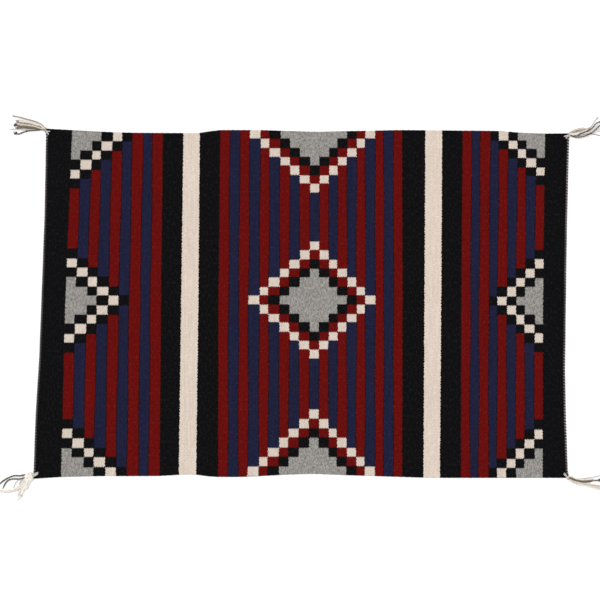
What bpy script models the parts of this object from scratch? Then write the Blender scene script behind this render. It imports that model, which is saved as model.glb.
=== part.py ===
"""A handwoven striped wool blanket that lies flat, with a twined cord along each warp end and a tassel
tied to each corner.

Metres, +Z up. The origin is on the underside, in the middle of the cloth. +X runs along the long
side, across the woven stripes, and +Y along them. Sizes below are in millimetres.
"""

import math
from collections import namedtuple

import bmesh
import bpy
import numpy as np
from mathutils import Vector

MM = 0.001
GAP = 0.3

# Cloth
THICKNESS = 3.0
CHAMFER = 0.8
COLUMNS = 44
MIDDLE_ROWS = 26

# The upper side rises and dips by up to the unevenness. A Wave is a length along X, a length along Y
# and how far each bends the other.
UNEVENNESS = 0.2
Wave = namedtuple("Wave", "along_x along_y bend")
LONG_WAVE = Wave(61.0, 97.0, 1.2)
CROSS_WAVE = Wave(83.0, 47.0, 0.8)

# Outline of the whole blanket. An EdgePoint of a long side gives its height Y at a place along X,
# and one of a warp end gives its X at a place along Y. The ends' lines are the cords' outer sides.
EdgePoint = namedtuple("EdgePoint", "place reach")
FAR_SIDE = [
    EdgePoint(-620.0, 386.5),
    EdgePoint(-563.0, 384.8),
    EdgePoint(-510.0, 382.0),
    EdgePoint(-441.0, 378.0),
    EdgePoint(-382.0, 375.6),
    EdgePoint(-228.0, 375.0),
    EdgePoint(-192.0, 381.6),
    EdgePoint(-96.0, 381.8),
    EdgePoint(25.0, 377.6),
    EdgePoint(102.0, 378.8),
    EdgePoint(212.0, 381.8),
    EdgePoint(432.0, 380.0),
    EdgePoint(478.0, 376.2),
    EdgePoint(531.0, 374.2),
    EdgePoint(620.0, 374.6),
]
NEAR_SIDE = [
    EdgePoint(-620.0, -386.0),
    EdgePoint(-593.0, -384.8),
    EdgePoint(-536.0, -381.3),
    EdgePoint(-448.0, -379.1),
    EdgePoint(-316.0, -379.1),
    EdgePoint(-257.0, -375.2),
    EdgePoint(-230.0, -375.6),
    EdgePoint(-206.0, -381.0),
    EdgePoint(-129.0, -381.0),
    EdgePoint(-41.0, -375.6),
    EdgePoint(20.0, -374.0),
    EdgePoint(91.0, -376.9),
    EdgePoint(245.0, -382.0),
    EdgePoint(290.0, -383.5),
    EdgePoint(620.0, -383.5),
]
LEFT_END = [
    EdgePoint(-430.0, -595.4),
    EdgePoint(-379.0, -592.9),
    EdgePoint(-113.0, -580.6),
    EdgePoint(-14.0, -576.2),
    EdgePoint(206.0, -567.4),
    EdgePoint(385.0, -562.9),
    EdgePoint(430.0, -561.8),
]
RIGHT_END = [
    EdgePoint(-430.0, 579.4),
    EdgePoint(-366.0, 579.2),
    EdgePoint(-250.0, 576.8),
    EdgePoint(-135.0, 574.8),
    EdgePoint(8.0, 576.0),
    EdgePoint(162.0, 578.2),
    EdgePoint(371.0, 582.8),
    EdgePoint(430.0, 584.0),
]

# Half the depth that rows are spaced by, and the run over which the outline's turns are softened
HALF_DEPTH = 380.0
SOFTENED_OVER = np.linspace(-14.0, 14.0, 9)

# Cords along the warp ends. The cloth is drawn in beside them, from a little way off its corners on.
CORD_WIDTH = 4.6
CORD_HEIGHT = 4.0
CORD_WAIST = 0.72
CORD_SLANT = 0.9
CORD_SIDES = 6
TWIST_PITCH = 6.5
CORD_STOP = 15.5
DRAW_IN_START = 9.0
DRAW_IN_MIDDLE = 12.0

# Yarns of the tassels: their thickness, how much thicker the small knot at a tip is and how much it
# tapers, and the shares of a strand's length over which it comes down to the floor or crosses another
YARN_SIZES = {"cream": 2.8, "dark": 2.4, "pale": 2.0}
STRAND_STEPS = 12
TIP_KNOT = 1.55
TIP_TAPER = 0.8
FALLEN_AT = 0.5
LIFTED_AT = 0.45
SET_DOWN_OVER = 0.25

# The knot that ties a tassel and its stitch over the corner of the cloth
KNOT_SIDES = 10
KNOT_RINGS = 6
KNOT_LUMP = 0.06
STITCH_WIDTH = 4.6
STITCH_TIP_WIDTH = 3.0
STITCH_HEIGHT = 2.0
STITCH_STEPS = 4

# One row for each corner. The knot's middle and the stitch's end are measured from the cloth's
# corner, and the knot's three sizes are its half length, half width and half height.
Corner = namedtuple("Corner", "name column row knot_x knot_y half_x half_y half_z stitch_x stitch_y")
CORNERS = [
    Corner("top_left", 0, 1, -4.8, -0.8, 4.2, 4.0, 3.8, 6.4, -12.0),
    Corner("top_right", 1, 1, 4.8, -1.8, 4.3, 4.0, 3.8, -8.6, -12.6),
    Corner("bottom_left", 0, 0, -11.0, 6.6, 8.0, 7.2, 4.4, 8.0, 14.6),
    Corner("bottom_right", 1, 0, 4.8, -1.2, 4.3, 4.0, 3.8, -7.4, 10.2),
]

# One row for each loose yarn end. reach_x and reach_y run from the knot's middle to the tip, bow is
# how far its middle swings towards +Y, sway how far it bends into an S, start is its height in the
# knot, lift how high it passes over the strands it crosses, and knotted whether a small knot ends it.
Strand = namedtuple("Strand", "yarn reach_x reach_y bow sway start lift knotted")
STRANDS = {
    "top_left": [
        Strand("pale", -73.0, 29.0, 5.4, 1.4, 3.8, 0.0, True),
        Strand("cream", -58.5, 21.0, 2.0, 2.4, 2.1, 0.0, True),
        Strand("cream", -63.0, 14.6, 1.7, 2.2, 4.9, 0.0, True),
        Strand("dark", -69.5, 9.2, 1.2, 1.8, 1.8, 0.0, True),
        Strand("cream", -64.0, 3.2, 0.7, 0.8, 4.5, 0.0, True),
        Strand("pale", -77.5, -2.4, 0.1, 0.0, 1.5, 0.0, False),
        Strand("dark", -66.5, -9.8, 0.5, -0.8, 3.3, 0.0, True),
    ],
    "top_right": [
        Strand("pale", 58.4, 35.0, -0.6, 2.6, 4.8, 0.0, True),
        Strand("cream", 35.5, 13.8, 2.0, 0.0, 2.0, 0.0, True),
        Strand("cream", 30.5, 7.2, 0.7, 0.0, 5.2, 0.0, True),
        Strand("cream", 73.5, 9.5, -0.8, 0.0, 2.4, 0.0, False),
        Strand("dark", 71.0, 28.6, -6.0, -4.2, 4.1, 3.6, True),
        Strand("dark", 74.5, 23.0, -11.0, -5.0, 3.1, 3.8, True),
        Strand("pale", 72.0, -4.8, 0.8, 0.0, 1.5, 0.0, False),
    ],
    "bottom_left": [
        Strand("dark", -66.0, -20.6, 9.2, 0.0, 3.9, 0.0, True),
        Strand("dark", -56.0, -26.0, 8.2, -3.6, 1.8, 0.0, True),
        Strand("pale", -35.0, -22.5, 2.0, 0.0, 4.7, 0.0, False),
        Strand("pale", -19.4, -19.0, 0.6, 0.0, 1.4, 0.0, False),
        Strand("cream", -68.5, -31.5, -15.0, 0.0, 2.0, 0.0, True),
        Strand("cream", -24.0, -50.6, -2.6, 1.5, 5.3, 0.0, True),
        Strand("cream", -3.6, -26.4, -4.2, 0.0, 3.1, 0.0, True),
    ],
    "bottom_right": [
        Strand("pale", 77.0, 9.0, -2.2, 0.0, 2.9, 0.0, False),
        Strand("cream", 50.0, -1.6, -1.3, 0.0, 4.4, 0.0, True),
        Strand("dark", 69.5, -3.6, -4.6, 0.0, 2.5, 0.0, True),
        Strand("cream", 76.0, -18.4, -2.8, -1.0, 3.9, 0.0, False),
        Strand("cream", 76.0, -27.6, -2.6, -2.4, 2.2, 0.0, True),
    ],
}

# Edges sharper than this stay crisp
CRISP_ANGLE = math.radians(40.0)

# Colour, as linear red, green and blue, and roughness
FINISHES = {
    "black wool": ((0.008, 0.008, 0.009), 0.95),
    "twined yarn": ((0.12, 0.11, 0.10), 0.90),
    "cream yarn": ((0.70, 0.65, 0.58), 0.90),
}


def clear_scene():
    for thing in list(bpy.data.objects):
        bpy.data.objects.remove(thing, do_unlink=True)


def finish(name):
    colour, roughness = FINISHES[name]
    material = bpy.data.materials.new(name)
    material.use_nodes = True
    shader = material.node_tree.nodes["Principled BSDF"]
    shader.inputs["Base Color"].default_value = (*colour, 1.0)
    shader.inputs["Roughness"].default_value = roughness
    shader.inputs["Metallic"].default_value = 0.0
    return material


def new_object(name, points, faces, material=None):
    """A mesh object from points in millimetres, its faces turned outwards."""
    mesh = bpy.data.meshes.new(name)
    mesh.from_pydata([Vector(p) * MM for p in points], [], faces)
    shape = bmesh.new()
    shape.from_mesh(mesh)
    bmesh.ops.recalc_face_normals(shape, faces=shape.faces)
    shape.to_mesh(mesh)
    shape.free()
    mesh.set_sharp_from_angle(angle=CRISP_ANGLE)
    thing = bpy.data.objects.new(name, mesh)
    bpy.context.scene.collection.objects.link(thing)
    if material:
        mesh.materials.append(material)
    return thing


def reach_at(edge, place):
    """The edge's reach at a place, its turns softened over a short run."""
    places = [p.place for p in edge]
    reaches = [p.reach for p in edge]
    return float(np.mean(np.interp(place + SOFTENED_OVER, places, reaches)))


def smooth_step(amount):
    amount = min(max(amount, 0.0), 1.0)
    return amount * amount * (3 - 2 * amount)


def drawn_in(to_corner):
    """How far the cloth keeps back from the outline of a warp end, to leave room for its cord."""
    share = (to_corner - DRAW_IN_START) / (CORD_STOP - DRAW_IN_START)
    return (CORD_WIDTH + GAP) * smooth_step(share)


def cloth_point(s, t):
    """A place on the cloth in plan: s from the left end to the right, t from the near side to the far."""
    y = HALF_DEPTH * (2 * t - 1)
    inset = drawn_in(HALF_DEPTH - abs(y))
    left = reach_at(LEFT_END, y) + inset
    right = reach_at(RIGHT_END, y) - inset
    x = left + (right - left) * s
    near = reach_at(NEAR_SIDE, x)
    far = reach_at(FAR_SIDE, x)
    return x, near + (far - near) * t


def top_height(x, y):
    """The cloth's upper side rises and dips a little, as handwoven wool does."""
    rise = math.sin(x / LONG_WAVE.along_x + LONG_WAVE.bend * math.sin(y / LONG_WAVE.along_y))
    rise += math.sin(y / CROSS_WAVE.along_y + CROSS_WAVE.bend * math.sin(x / CROSS_WAVE.along_x))
    return THICKNESS + UNEVENNESS * rise / 2


def row_stations():
    """Shares of the depth at which the cloth has a row of points, closer together at the corners."""
    corner = [place / (2 * HALF_DEPTH) for place in (0.0, DRAW_IN_START, DRAW_IN_MIDDLE, CORD_STOP)]
    middle = np.linspace(corner[-1], 1 - corner[-1], MIDDLE_ROWS + 1)[1:-1]
    return [*corner, *middle, *(1 - t for t in reversed(corner))]


def make_blanket():
    """The cloth: a flat underside, an uneven upper side and a chamfer round its upper edge."""
    rows = row_stations()
    last_i, last_j = COLUMNS, len(rows) - 1
    points = []
    numbers = {}

    def number(level, i, j):
        if (level, i, j) not in numbers:
            x, y = cloth_point(i / COLUMNS, rows[j])
            z = 0.0
            if level == "side":
                z = THICKNESS - CHAMFER
            if level == "upper":
                x += CHAMFER * ((i == 0) - (i == last_i))
                y += CHAMFER * ((j == 0) - (j == last_j))
                z = top_height(x, y)
            numbers[level, i, j] = len(points)
            points.append((x, y, z))
        return numbers[level, i, j]

    faces = []
    for i in range(last_i):
        for j in range(last_j):
            ring = [(i, j), (i + 1, j), (i + 1, j + 1), (i, j + 1)]
            faces.append([number("upper", *at) for at in ring])
            faces.append([number("under", *at) for at in reversed(ring)])
    rim = [(i, 0) for i in range(last_i)]
    rim += [(last_i, j) for j in range(last_j)]
    rim += [(i, last_j) for i in range(last_i, 0, -1)]
    rim += [(0, j) for j in range(last_j, 0, -1)]
    for a, b in zip(rim, rim[1:] + rim[:1]):
        for low, high in (("under", "side"), ("side", "upper")):
            faces.append([number(low, *a), number(low, *b), number(high, *b), number(high, *a)])
    return new_object("blanket", points, faces, finish("black wool"))


def tube(rings):
    """Points and faces of a closed tube through rings of equally many points."""
    sides = len(rings[0])
    points = [p for ring in rings for p in ring]
    faces = [list(range(sides))]
    for k in range(len(rings) - 1):
        for j in range(sides):
            a = k * sides + j
            b = k * sides + (j + 1) % sides
            faces.append([a, b, b + sides, a + sides])
    faces.append([len(points) - sides + j for j in range(sides)])
    return points, faces


def make_edge_cord(side, column, outwards):
    """The twined cord of one warp end: slanting bumps, one for each turn of its two yarns."""
    stop = CORD_STOP / (2 * HALF_DEPTH)
    bumps = round((1 - 2 * stop) * 2 * HALF_DEPTH / TWIST_PITCH)
    rings = []
    for k in range(2 * bumps + 1):
        x, y = cloth_point(column, stop + (1 - 2 * stop) * k / (2 * bumps))
        middle = x + outwards * (GAP + CORD_WIDTH / 2)
        size = 1.0 if k % 2 else CORD_WAIST
        ring = []
        for j in range(CORD_SIDES):
            angle = math.tau * j / CORD_SIDES
            across = size * CORD_WIDTH / 2 * math.cos(angle)
            up = size * CORD_HEIGHT / 2 * math.sin(angle) / math.sin(math.tau / CORD_SIDES)
            slant = size * CORD_SLANT * math.cos(angle)
            ring.append((middle + across, y + slant, CORD_HEIGHT / 2 + up))
        rings.append(ring)
    points, faces = tube(rings)
    return new_object(f"edge_cord_{side}", points, faces, finish("twined yarn"))


def strap(centres, half_widths, half_heights):
    """A four-sided tube along a run of places, level across and with an upright end at each place."""
    rings = []
    for k, centre in enumerate(centres):
        before, after = centres[max(k - 1, 0)], centres[min(k + 1, len(centres) - 1)]
        forward = Vector(after) - Vector(before)
        forward.z = 0.0
        across = Vector((-forward.y, forward.x, 0.0)).normalized() * half_widths[k]
        up = Vector((0.0, 0.0, half_heights[k]))
        middle = Vector(centre)
        low, high = middle - up, middle + up
        rings.append([low - across, low + across, high + across, high - across])
    return tube(rings)


def strand_route(knot, strand):
    """Places along a strand's middle line: it bends in plan and comes down from the knot to the floor."""
    half = YARN_SIZES[strand.yarn] / 2
    reach = Vector((strand.reach_x, strand.reach_y))
    swing = Vector((-reach.y, reach.x)).normalized()
    if swing.y < 0:
        swing.negate()
    places = []
    for k in range(STRAND_STEPS + 1):
        t = k / STRAND_STEPS
        bend = 4 * strand.bow * t * (1 - t) + 8 * strand.sway * t * (1 - t) * (1 - 2 * t)
        flat = reach * t + swing * bend
        fall = 1 - smooth_step(t / FALLEN_AT)
        hump = strand.lift * smooth_step(t / LIFTED_AT) * smooth_step((1 - t) / SET_DOWN_OVER)
        z = half + max(strand.start - half, 0.0) * fall + hump
        places.append((knot[0] + flat.x, knot[1] + flat.y, z))
    return places


def make_strand(name, knot, strand):
    half = YARN_SIZES[strand.yarn] / 2
    route = strand_route(knot, strand)
    sizes = [half] * len(route)
    if strand.knotted:
        sizes[-2:] = [half * TIP_KNOT, half * TIP_KNOT * TIP_TAPER]
    # A knot at the tip rests on the floor too, so its middle is raised by what it is thicker.
    route = [(x, y, z + size - half) for (x, y, z), size in zip(route, sizes)]
    points, faces = strap(route, sizes, sizes)
    return new_object(name, points, faces)


def make_stitch(name, knot, end):
    """The short flat stitch from the knot over the cloth's corner."""
    half = STITCH_HEIGHT / 2
    height = THICKNESS + UNEVENNESS + GAP + half
    route = []
    for k in range(STITCH_STEPS + 1):
        t = k / STITCH_STEPS
        route.append((knot[0] + (end[0] - knot[0]) * t, knot[1] + (end[1] - knot[1]) * t, height))
    widths = [STITCH_WIDTH / 2] * STITCH_STEPS + [STITCH_TIP_WIDTH / 2]
    points, faces = strap(route, widths, [half] * (STITCH_STEPS + 1))
    return new_object(name, points, faces)


def make_knot(name, knot, corner):
    """The yarn knot: a flattened ball that stands on the floor."""
    points = [(knot[0], knot[1], 0.0)]
    for ring in range(1, KNOT_RINGS):
        tilt = math.pi * ring / KNOT_RINGS
        for j in range(KNOT_SIDES):
            turn = math.tau * j / KNOT_SIDES
            lump = 1 + KNOT_LUMP * math.sin(3 * turn + ring)
            x = knot[0] + corner.half_x * lump * math.sin(tilt) * math.cos(turn)
            y = knot[1] + corner.half_y * lump * math.sin(tilt) * math.sin(turn)
            points.append((x, y, corner.half_z * (1 - math.cos(tilt))))
    points.append((knot[0], knot[1], 2 * corner.half_z))
    top = len(points) - 1
    faces = []
    for j in range(KNOT_SIDES):
        after = (j + 1) % KNOT_SIDES
        faces.append([0, 1 + after, 1 + j])
        faces.append([top, top - KNOT_SIDES + j, top - KNOT_SIDES + after])
        for ring in range(KNOT_RINGS - 2):
            low = 1 + ring * KNOT_SIDES
            high = low + KNOT_SIDES
            faces.append([low + j, low + after, high + after, high + j])
    return new_object(name, points, faces, finish("cream yarn"))


def join_into(whole, piece):
    """Joins a piece into the whole with a Boolean, and keeps the piece only as its guide."""
    piece.hide_render = True
    piece.display_type = "WIRE"
    union = whole.modifiers.new(piece.name, "BOOLEAN")
    union.operation = "UNION"
    union.solver = "EXACT"
    union.object = piece


def make_tassel(corner):
    """A knot, its stitch over the cloth's corner and its loose strands, as one tied piece."""
    x, y = cloth_point(corner.column, corner.row)
    knot = (x + corner.knot_x, y + corner.knot_y)
    name = f"tassel_{corner.name}"
    tassel = make_knot(name, knot, corner)
    end = (x + corner.stitch_x, y + corner.stitch_y)
    join_into(tassel, make_stitch(f"{name}_stitch", knot, end))
    for k, strand in enumerate(STRANDS[corner.name]):
        join_into(tassel, make_strand(f"{name}_strand_{k}", knot, strand))
    return tassel


def main():
    clear_scene()
    make_blanket()
    make_edge_cord("left", 0, -1)
    make_edge_cord("right", 1, 1)
    for corner in CORNERS:
        make_tassel(corner)


main()
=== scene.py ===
"""Looks for a handwoven striped wool blanket that lies flat, with a twined cord along each warp end and
a tassel tied to each corner.

The frame is the CAD part's: +X across the woven stripes, +Y along them, +Z up, and the origin on the
underside in the middle of the cloth. Sizes below are in millimetres, which new_piece() makes metres,
apart from the camera's places.
"""

import math
from collections import namedtuple

import bpy
import numpy as np
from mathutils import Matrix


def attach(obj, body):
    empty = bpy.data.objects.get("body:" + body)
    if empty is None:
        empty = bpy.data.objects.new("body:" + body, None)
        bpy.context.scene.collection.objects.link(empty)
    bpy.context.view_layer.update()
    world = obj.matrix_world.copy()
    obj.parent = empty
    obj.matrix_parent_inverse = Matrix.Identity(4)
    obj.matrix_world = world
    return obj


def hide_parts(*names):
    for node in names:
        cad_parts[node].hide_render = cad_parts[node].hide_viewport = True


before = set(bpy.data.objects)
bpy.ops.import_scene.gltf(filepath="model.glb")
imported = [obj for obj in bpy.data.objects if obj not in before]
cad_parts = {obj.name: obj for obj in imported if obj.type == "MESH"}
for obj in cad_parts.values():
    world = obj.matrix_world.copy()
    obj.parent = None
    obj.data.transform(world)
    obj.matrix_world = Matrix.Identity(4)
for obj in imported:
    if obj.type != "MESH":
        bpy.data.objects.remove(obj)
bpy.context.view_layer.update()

MM = 0.001
UP = np.array([0.0, 0.0, 1.0])

# A block of the pattern is about as wide as it is high
BLOCK = 20.5
# Share that a cord's or a small knot's two end rings are narrowed to
END_TAPER = 0.5

# Cloth. Its ribs lie a little wider apart at the near side. The higher the edge's pull, the fewer of
# them follow the outline's bends. The rim is a round of this radius, with points at these tilts.
THICKNESS = 3.0
RIBS = 229
RIB_FAN = 0.036
EDGE_PULL = 6
ROWS_PER_RIB = 3
VALLEY = 0.45
RIM = 1.3
RIM_TILTS = (60.0, 25.0, -25.0, -60.0)

# The upper side rises and dips by up to the unevenness. A Wave is a length along X, a length along Y
# and how far each bends the other.
UNEVENNESS = 0.2
Wave = namedtuple("Wave", "along_x along_y bend")
LONG_WAVE = Wave(61.0, 97.0, 1.2)
CROSS_WAVE = Wave(83.0, 47.0, 0.8)

# Outline of the whole blanket: a long side's points are places along X and its Y there, and a warp end's
# are places along Y and its X there. The ends' lines are the cords' outer sides.
FAR_SIDE = [
    (-620, 386), (-563, 385), (-510, 382), (-440, 378), (-380, 376), (-228, 375), (-192, 382),
    (-96, 382), (25, 378), (212, 382), (432, 380), (478, 376), (531, 374), (620, 375),
]
NEAR_SIDE = [
    (-620, -386), (-593, -385), (-536, -381), (-448, -379), (-316, -379), (-257, -375), (-230, -376),
    (-206, -381), (-130, -381), (-40, -376), (20, -374), (91, -377), (245, -382), (290, -383),
    (620, -383),
]
LEFT_END = [
    (-430, -596), (-380, -594), (-240, -589), (-115, -581), (95, -573), (205, -569), (430, -565),
]
RIGHT_END = [
    (-430, 581), (-365, 580), (-250, 576), (-150, 574), (10, 576), (160, 578), (370, 583), (430, 584),
]
# Half the depth that rows are spaced by, and the run over which the outline's turns are softened
HALF_DEPTH = 380.0
SOFTENED_OVER = np.linspace(-14.0, 14.0, 9)

# Layout of the stripes. The cloth's width is 51 units: an outer black band, 9 stripes, a band of two
# black, two cream and two black units, 19 stripes, the same band, 9 stripes and the outer band. Line 0
# is the left end and line 51 the right one. A band line's X is given at each station along Y.
UNITS = 51
MIDDLE_UNIT = 25
OUTER_BAND_UNITS = 3
STATIONS = np.array([370.0, 0.0, -370.0])
BAND_LINES = {
    1: (-510, -525, -534),
    10: (-309, -313, -316),
    12: (-265, -270, -275),
    14: (-228, -231, -236),
    16: (-184, -188, -189),
    25: (14, 13, 11),
    26: (35, 34, 33),
    35: (217, 218, 217),
    37: (267, 265, 263),
    39: (305, 303, 300),
    41: (349, 346, 345),
    50: (531, 527, 526),
}
# Runs of even stripes, from line to line. The middle stripe stands between two of them.
EVEN_STRIPES = ((1, 10), (16, 25), (26, 35), (41, 50))
# Lines that lie halfway between their neighbours, and the lines between which one panel's ribs give way
# to the next one's
HALVED_BANDS = (11, 13, 15, 36, 38, 40)
LEFT_BLEND = (11, 15)
RIGHT_BLEND = (36, 40)

# Handwork: a line between stripes is off its even place by two waves, of which one runs along Y, and a
# line between rows by one wave. A turn is how far a wave goes on from line to line.
STRIPE_UNEVENNESS = 0.8
STRIPE_TURN = 2.6
WANDER_LENGTH = 55.0
ROW_UNEVENNESS = 0.9
ROW_TURN = 2.4


def block_lines(start, end, count):
    """Y of the lines between rows of blocks: evenly spaced from start to end, then a little uneven."""
    number = np.arange(count + 1)
    uneven = ROW_UNEVENNESS * np.sin(ROW_TURN * number + start)
    uneven[[0, -1]] = 0.0
    return start + (end - start) * number / count + uneven


# Steps of the diamonds. The far and near rows start at the cloth's edge, and the middle ones run from
# far to near.
Panel = namedtuple("Panel", "first last far_rows middle_rows near_rows")
PANELS = (
    Panel(1, 10, block_lines(378, 254, 6), block_lines(121, -107, 11), block_lines(-380, -254, 6)),
    Panel(16, 35, block_lines(382, 244, 7), block_lines(137, -121, 13), block_lines(-379, -232, 7)),
    Panel(41, 50, block_lines(379, 261, 6), block_lines(118, -106, 11), block_lines(-383, -255, 6)),
)
# A row that lies outside every diamond
NO_ROW = 40.0

# Weave: the width of one bead of weft, and in blocks the joins' teeth, how far dark wool is beaten in
# over light and how far a stripe's edge wanders
BEAD = 1.8
TOOTH_REACH = 0.07
TUCK = 0.036
WANDER = 0.035

# Selvages: the weft turns back round the outermost warp in small bumps
SELVAGE_HALF = 1.45
SELVAGE_SIDES = 8
SELVAGE_STEPS_PER_BEAD = 3
SELVAGE_SWELL = np.array([0.84, 1.04, 1.04])
# The rim drifts aside in waves along X, which longer waves bend
SELVAGE_DRIFT = 0.28
SELVAGE_WAVE = 1.9
SELVAGE_LONG_WAVE = 13.0
SELVAGE_BEND = 1.5

# Cords along the warp ends: two yarns that turn round each other on a third. From the stop on, counted
# from a corner, a cord leans and rises to its knot, up to its tail, and the cloth is less and less drawn
# in for it, up to the draw-in's start.
CORD_WIDTH = 4.6
GAP = 0.3
CORD_STOP = 15.5
DRAW_IN_START = 9.0
TWIST_PITCH = 6.5
CORD_STEPS_PER_TURN = 14
CORD_SIDES = 8
CORD_OUT = 0.5
CORD_SKEW = 1.25
CORD_TAIL = 3.0
CORD_TAIL_RISE = 2.0
CORD_SWELLING = 0.08
CORD_SWELL_LENGTH = 17.0
# How far a cord's near and far ends lean outwards to their knots
CORD_LEANS = {"left": (1.5, 3.0), "right": (1.5, 0.3)}

# A CordYarn's middle lies this far across and up on average, swings across and sinks by so much as
# the yarns turn, and takes this one of the cord's materials.
CordYarn = namedtuple("CordYarn", "half across swing height sink phase material")
CORD_YARNS = (
    CordYarn(1.25, 0.0, 1.6, 2.2, 0.75, 0.0, 0),
    CordYarn(1.05, 0.2, 0.8, 2.2, 0.9, math.pi, 1),
    CordYarn(1.4, -2.1, 0.15, 1.65, 0.1, 1.0, 0),
)
# How pale the light yarn is: places along Y, and the share of its colour there
PALENESS = {
    "left": [(-385, 1.0), (350, 1.0), (375, 2.8)],
    "right": [
        (-385, 0.4), (-350, 0.4), (-315, 1.0), (-250, 0.9), (-180, 0.6), (-105, 0.65),
        (-70, 0.4), (0, 0.35), (70, 0.75), (105, 0.5), (280, 1.0),
    ],
}

# Yarns of the tassels, of two plies each. The pitch, half width, offset and lowest height are shares of
# the yarn's size. A ply swells and ripples along lengths in millimetres.
PLY_PITCH = 3.4
PLY_STEPS_PER_TURN = 9
PLY_SIDES = 6
PLY_HALF = 0.27
PLY_OFFSET = 0.22
PLY_LEAST_STEPS = 6
PLY_SWELLING = 0.07
PLY_SWELL_LENGTH = 4.3
PLY_RIPPLE = 0.05
PLY_RIPPLE_LENGTH = 1.9
PLY_END = 0.6
PLY_PHASE = 1.7
FIBRE_LENGTH = 6
LOWEST = 0.54

# Small knots at the strands' tips. Lengths are shares of the knot's width.
KNOT_TURNS = 2.2
KNOT_COIL = 0.14
KNOT_LENGTH = 0.34
KNOT_SLANT = 0.1
KNOT_SLANT_PHASE = 0.6
KNOT_FLATTENED = 0.55
KNOT_STEPS = 40

# Loose fibres beyond a tip: the route's last steps, which they go on from, how many they are, and the
# range of each one's length, turn aside and height
TIP_STEPS = 5
HAIRS = 6
HAIR_STEPS = 5
HAIR_SIDES = 4
HAIR_LENGTHS = (2.0, 4.5)
HAIR_TURNS = (-0.5, 0.5)
HAIR_HEIGHTS = (0.1, 0.6)
HAIR_LOWEST = 0.15
HAIR_ROOT = 0.2
HAIR_TIP = 0.08

# The tassel's own knot: a core, and loops wound round it at places from -1 to 1 along it
CORE_REACH = 0.86
CORE_STEPS = 9
CORE_SHARE = 0.8
CORE_SIDES = 10
LOOP_PLACES = (-0.62, -0.2, 0.22, 0.64)
LOOP_ROUNDNESS = 0.8
LOOP_LEAN = 0.35
LOOP_STEPS = 24
LOOP_SIDES = 8
COIL_SHARE = 0.27

# Shares of a strand's length over which it falls to the floor, rises over others and is set down
FALLEN_AT = 0.4
LIFTED_AT = 0.3
SET_DOWN_OVER = 0.2
STRAND_STEPS = 160

# The column is 0 at the left end and 1 at the right, the row 0 at the near side and 1 at the far one.
# The knot's middle is measured from the cloth's corner, and its three sizes are half ones.
Corner = namedtuple("Corner", "name column row knot_x knot_y half_x half_y half_z")
CORNERS = [
    Corner("top_left", 0, 1, -3.5, -1.0, 3.8, 3.8, 3.6),
    Corner("top_right", 1, 1, 2.0, -1.5, 3.3, 3.1, 3.3),
    Corner("bottom_left", 0, 0, -10.0, 3.5, 7.8, 6.6, 4.4),
    Corner("bottom_right", 1, 0, 1.0, 0.0, 3.3, 3.7, 3.4),
]
# Yarns of each knot: of its core, then of its loops
KNOT_YARNS = {
    "top_left": ("tan", "tan", "fawn", "tan", "tan"),
    "top_right": ("sand", "tan", "sand", "grey", "tan"),
    "bottom_left": ("light", "cream", "cream", "light", "light"),
    "bottom_right": ("cream", "cream", "tan", "pale", "brown"),
}

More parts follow.
